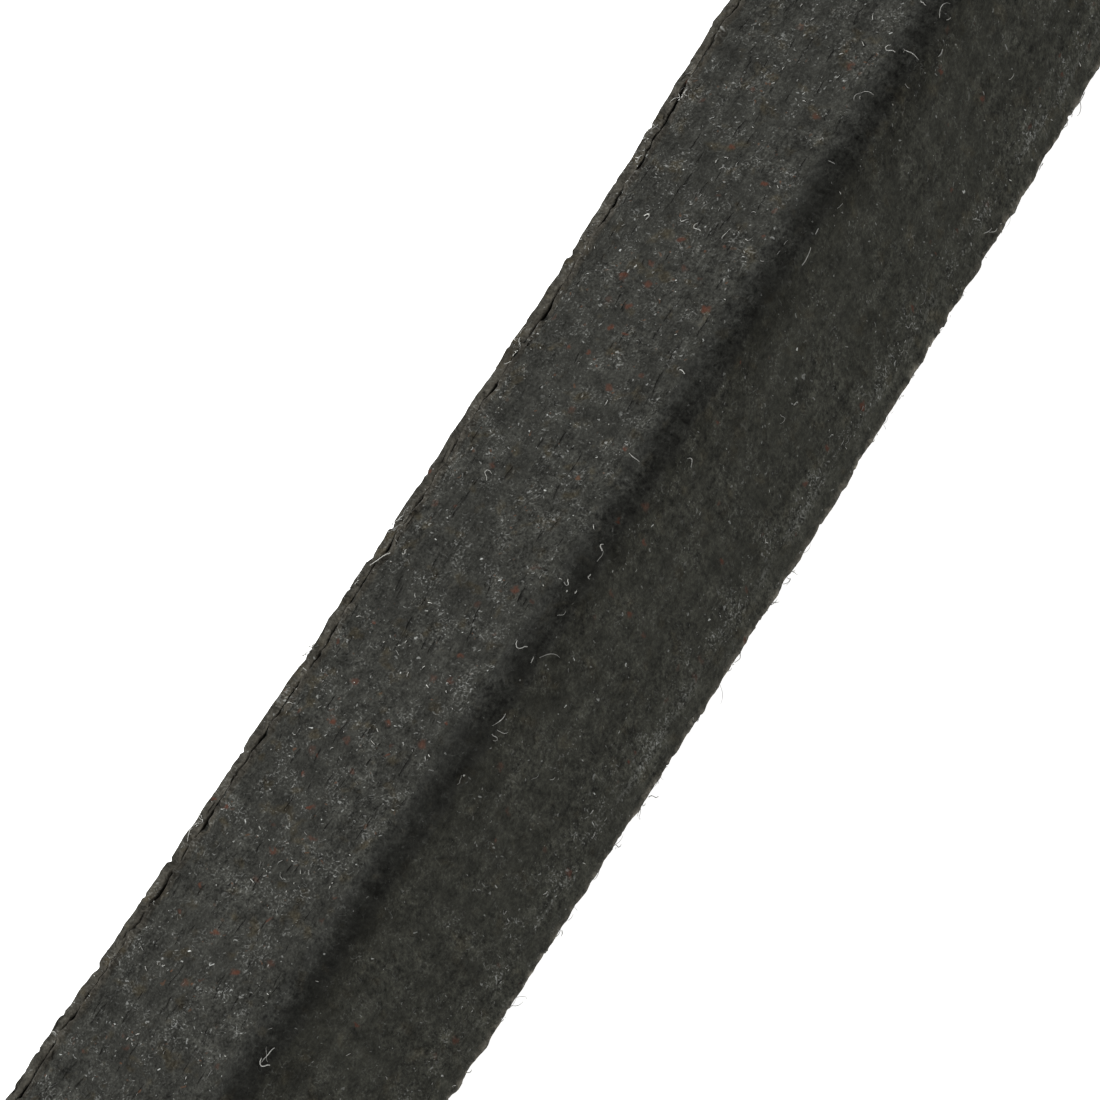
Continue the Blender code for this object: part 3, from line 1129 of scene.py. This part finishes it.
def fibre_roots(name, section, points, pulls, number=600):
    """Places in the section where yarn ends stand, in the outline's order, drawn by their pulls."""
    draw = random.Random(FIBRE_SEED + 1)
    steps = range(len(points) - 1)
    weights = [(points[i + 1] - points[i]).length * pulls[i] * pulls[i + 1] for i in steps]
    places, lean_u, lean_w = [], [], []
    for i in sorted(draw.choices(steps, weights, k=number)):
        run = (points[i + 1] - points[i]).normalized()
        places.append(points[i].lerp(points[i + 1], draw.random()))
        lean_u.append(run.y)
        lean_w.append(-run.x)
    middle = Vector((section.cord_depth - section.height / 2, 0.0))
    if sum((p - middle).dot(Vector((a, b))) for p, a, b in zip(places, lean_u, lean_w)) < 0:
        lean_u, lean_w = [-a for a in lean_u], [-b for b in lean_w]
    return point_mesh(name, places, {"lean_u": lean_u, "lean_w": lean_w})


def fibre_tree():
    """Curled yarn ends stood on the cloth in tufts at random round the loop."""
    g = GeometryTree("yarn_ends", FIBRE_INPUTS)
    given = g.given

    def chance(low, high, offset, of=None):
        node = g.add("FunctionNodeRandomValue", data_type="FLOAT")
        seed = g.plus(given["Seed"], float(offset))
        for name, value in (("Min", low), ("Max", high), ("Seed", seed)):
            g.feed(g.named(node.inputs, name), value)
        if of is not None:
            g.feed(g.named(node.inputs, "ID"), of)
        return g.out(node)

    path = g.node("ObjectInfo", {"Object": given["Path"]}, "Geometry")
    roots = g.node("ObjectInfo", {"Object": given["Roots"]}, "Geometry")
    many = g.minus(g.node("AttributeDomainSize", {"Geometry": roots}, "Point Count"), 1.0)
    tuft = g.floor(chance(0.0, given["Tufts"], 7))
    nearby = g.times(chance(-1.0, 1.0, 8), given["Spread"])
    distance = g.plus(chance(0.0, given["Path Length"], 1, tuft), nearby)
    distance = g.math("FLOORED_MODULO", distance, given["Path Length"])
    place, tangent, outward = g.along(path, distance)
    pick = g.plus(chance(0.0, many, 2, tuft), chance(-40.0, 40.0, 10))
    pick = g.floor(g.math("MINIMUM", g.math("MAXIMUM", pick, 0.0), many))
    corner = g.point_of(roots, pick, g.position(), "FLOAT_VECTOR")
    lean = g.xyz(*(g.point_of(roots, pick, g.attribute(name)) for name in ("lean_u", "lean_w")))
    normal = g.in_section(outward, lean)
    sideways = g.vector("CROSS_PRODUCT", normal, tangent)
    foot = g.shift(place, g.in_section(outward, corner))
    foot = g.shift(foot, g.scale(normal, given["Thickness"]))
    heading = chance(0.0, 2 * math.pi, 3)
    flat = g.shift(g.scale(tangent, g.math("COSINE", heading)),
                    g.scale(sideways, g.math("SINE", heading)))
    rise = g.times(g.math("POWER", chance(0.0, 1.0, 4), 2.5), given["Rise"])
    aim = g.shift(flat, g.scale(normal, rise))
    turned = g.add("FunctionNodeAxesToRotation", {"Primary Axis": aim, "Secondary Axis": normal},
                   primary_axis="X", secondary_axis="Z")
    points = g.node("Points", {"Count": given["Number"], "Position": foot})
    points = g.store(points, "bulk", chance(0.45, 1.25, 11))
    shapes = g.node("CollectionInfo",
                         {"Collection": given["Shapes"], "Separate Children": True, "Reset Children": True})
    span = g.minus(given["Longest"], given["Shortest"])
    size = g.times_plus(g.math("POWER", chance(0.0, 1.0, 5), 2.2), span, given["Shortest"])
    placed = g.add("GeometryNodeInstanceOnPoints", {
        "Points": points,
        "Instance": shapes,
        "Pick Instance": True,
        "Instance Index": g.floor(chance(0.0, FIBRE_SHAPES - 0.01, 6)),
        "Rotation": g.out(turned),
        "Scale": g.xyz(size, size, size),
    })
    curves = g.node("RealizeInstances", {"Geometry": g.out(placed)})
    part = g.node("SplineParameter", output="Factor")
    taper = g.times(g.ramp(part, 0.55, 1.0, 1.0, 0.45, smooth=False), g.attribute("bulk"))
    curves = g.node("SetCurveRadius", {"Curve": curves, "Radius": 1.0})
    ring = g.add("GeometryNodeCurvePrimitiveCircle", {"Resolution": 3, "Radius": given["Thickness"]})
    tubes = g.node("CurveToMesh",
                        {"Curve": curves, "Profile Curve": g.out(ring), "Scale": taper, "Fill Caps": True})
    x, y, z = g.split(g.position())
    above = g.math("MAXIMUM", z, 0.01 * MM)
    tubes = g.move(tubes, position=g.xyz(x, y, above))
    tubes = g.node("SetShadeSmooth", {"Geometry": tubes})
    g.finish(tubes, given["Yarn"])
    return g


class BELT_OT_fibres(bpy.types.Operator):
    """Scatter loose white yarn ends and lint along the corners, the free edge and the faces"""

    bl_idname = "belt.fibres"
    bl_label = "Loose Fibres"

    def execute(self, context):
        scene = context.scene
        fibres = scene.loose_fibres
        section = scene.belt_section
        points = cover_outline(section)
        zones = cover_zones(section, points)
        path, total = belt_path(scene)
        shown = zones["shown"]
        corner_pull = [0.02 + z * z for z in zones["ridge"]]
        lint_pull = [0.35 + a + 1.4 * b for a, b in zip(zones["flank"], zones["worn"])]
        yarn, crumbs = fibre_shapes("yarn_shape", 6, 1.0), fibre_shapes("crumb_shape", 2, 0.5)
        finish = fibre_material(fibres)
        tree = fibre_tree()
        thin = fibres.thickness
        face_pull = [0.3 + z for z in shown]
        labels = ("Number", "Tufts", "Spread", "Shortest", "Longest", "Rise", "Thickness")
        # name, shapes, pulls, then a value for each label
        kinds = (
            ("corner_fibres", yarn, corner_pull,
             (fibres.corner_number, 4200, 0.50 * MM, 0.10 * MM, 0.68 * MM, 1.0, thin)),
            ("lap_fibres", yarn, zones["rim"],
             (fibres.lap_number, 320, 0.30 * MM, 0.10 * MM, 0.50 * MM, 1.3, thin)),
            ("face_fibres", yarn, face_pull,
             (fibres.face_number, 1800, 0.50 * MM, 0.10 * MM, 0.75 * MM, 0.4, thin)),
            ("lint", crumbs, lint_pull,
             (fibres.lint_number, 3600, 0.30 * MM, 0.05 * MM, 0.26 * MM, 0.3, thin * 0.9)),
        )
        for i, (name, shapes, pulls, numbers) in enumerate(kinds):
            pulls = [pull * seen for pull, seen in zip(pulls, shown)]
            roots = fibre_roots(name + "_roots", section, points, pulls)
            values = dict(zip(labels, numbers))
            values.update({"Path": path, "Path Length": total, "Roots": roots, "Shapes": shapes})
            values.update({"Seed": FIBRE_SEED + 20 * i, "Yarn": finish})
            built(name, tree, values, "cover_cloth")
        return {"FINISHED"}


FLOOR_DROP = 0.3 * MM  # keeps the floor clear of the lowest yarn ends


def floor_material():
    """Plain white sheet that glows enough to lose its shadows."""
    f = Finish("studio_floor", roughness=0.9, specular=0.1)
    f.set("Base Color", (0.85, 0.85, 0.85, 1.0))
    f.set("Emission Color", (1.0, 1.0, 1.0, 1.0))
    f.set("Emission Strength", 0.90)
    return f.material


def lamp(name, direction, side, power, target, away=0.9):
    """A square soft light aimed at a point."""
    data = bpy.data.lights.new(name, "AREA")
    data.shape = "SQUARE"
    data.size = side
    data.energy = power
    made = bpy.data.objects.new(name, data)
    aim = Vector(direction).normalized()
    made.location = Vector(target) + aim * away
    made.rotation_mode = "QUATERNION"
    made.rotation_quaternion = (-aim).to_track_quat("-Z", "Y")
    bpy.context.scene.collection.objects.link(made)
    return made


def studio_world():
    """Pale surround, brighter at the horizon than overhead."""
    world = bpy.data.worlds.new("studio_world")
    world.use_nodes = True
    n = Nodes(world.node_tree)
    up = n.split(n.add("ShaderNodeTexCoord").outputs["Generated"])[2]
    glow = n.ramp(up, 0.0, 0.60, 0.95, 0.16)
    background = world.node_tree.nodes["Background"]
    n.feed(background.inputs["Color"], (1.0, 1.0, 1.0, 1.0))
    n.feed(background.inputs["Strength"], glow)
    bpy.context.scene.world = world


def studio_camera(studio, target):
    """A camera that looks down on the front run, swung along it and rolled so that it climbs the frame."""
    lift, swing, roll = studio.elevation, studio.swing, studio.roll
    back = Vector((-math.sin(swing), -math.cos(swing) * math.cos(lift), math.cos(swing) * math.sin(lift)))
    run = Vector((1.0, 0.0, 0.0))
    run = (run - run.dot(back) * back).normalized()
    across = back.cross(run)
    right = run * math.cos(roll) - across * math.sin(roll)
    up = run * math.sin(roll) + across * math.cos(roll)
    data = bpy.data.cameras.new("studio_camera")
    data.sensor_width = 36.0
    data.lens = studio.lens
    data.clip_start, data.clip_end = 0.01, 50.0
    camera = bpy.data.objects.new("studio_camera", data)
    turned = Matrix((right, up, back)).transposed().to_4x4()
    place = Vector(target) + across * studio.rise + back * studio.distance
    camera.matrix_world = Matrix.Translation(place) @ turned
    bpy.context.scene.collection.objects.link(camera)
    bpy.context.scene.camera = camera


class BELT_OT_studio(bpy.types.Operator):
    """Lay the white floor and set the lights, the surround and the camera"""

    bl_idname = "belt.studio"
    bl_label = "Studio"

    def execute(self, context):
        scene = context.scene
        studio = scene.studio
        side = studio.floor_side / 2
        mesh = bpy.data.meshes.new("studio_floor")
        corners = ((-side, -side), (side, -side), (side, side), (-side, side))
        mesh.from_pydata([(x, y, -FLOOR_DROP) for x, y in corners], [], [(0, 1, 2, 3)])
        mesh.materials.append(floor_material())
        floor = bpy.data.objects.new("studio_floor", mesh)
        scene.collection.objects.link(floor)
        front = min(y for _, y, _ in loop_points(scene.belt_section, scene.belt_loop)[0])
        target = (0.0, front, BELT_MIDDLE)
        lamp("flank_light", (-0.25, 0.80, 0.62), 0.7, 14.0, target)
        studio_world()
        studio_camera(studio, target)
        scene.view_settings.view_transform = "Standard"
        return {"FINISHED"}


class BELT_PT_sidebar(bpy.types.Panel):
    """Sizes, colours and the steps that build the belt"""

    bl_idname = "BELT_PT_sidebar"
    bl_label = "Wrapped V-belt"
    bl_space_type = "VIEW_3D"
    bl_region_type = "UI"
    bl_category = "Belt"

    def draw(self, context):
        layout = self.layout
        for name, group in SETTINGS.items():
            box = layout.box()
            box.label(text=titled(name))
            for key in group.__annotations__:
                box.prop(getattr(context.scene, name), key, text=titled(key))
        for step in STEPS:
            layout.operator(step.bl_idname)


STEPS = (BELT_OT_cover, BELT_OT_core, BELT_OT_cord, BELT_OT_fibres, BELT_OT_studio)
CLASSES = (*SETTINGS.values(), *STEPS, BELT_PT_sidebar)


def register():
    for item in CLASSES:
        bpy.utils.register_class(item)
    for name, group in SETTINGS.items():
        setattr(bpy.types.Scene, name, PointerProperty(type=group))


def unregister():
    for name in SETTINGS:
        delattr(bpy.types.Scene, name)
    for item in reversed(CLASSES):
        bpy.utils.unregister_class(item)


def main():
    register()
    bpy.ops.belt.cover()
    bpy.ops.belt.core()
    bpy.ops.belt.cord()
    bpy.ops.belt.fibres()
    bpy.ops.belt.studio()
    remove_helpers()


if __name__ == "__main__":
    main()
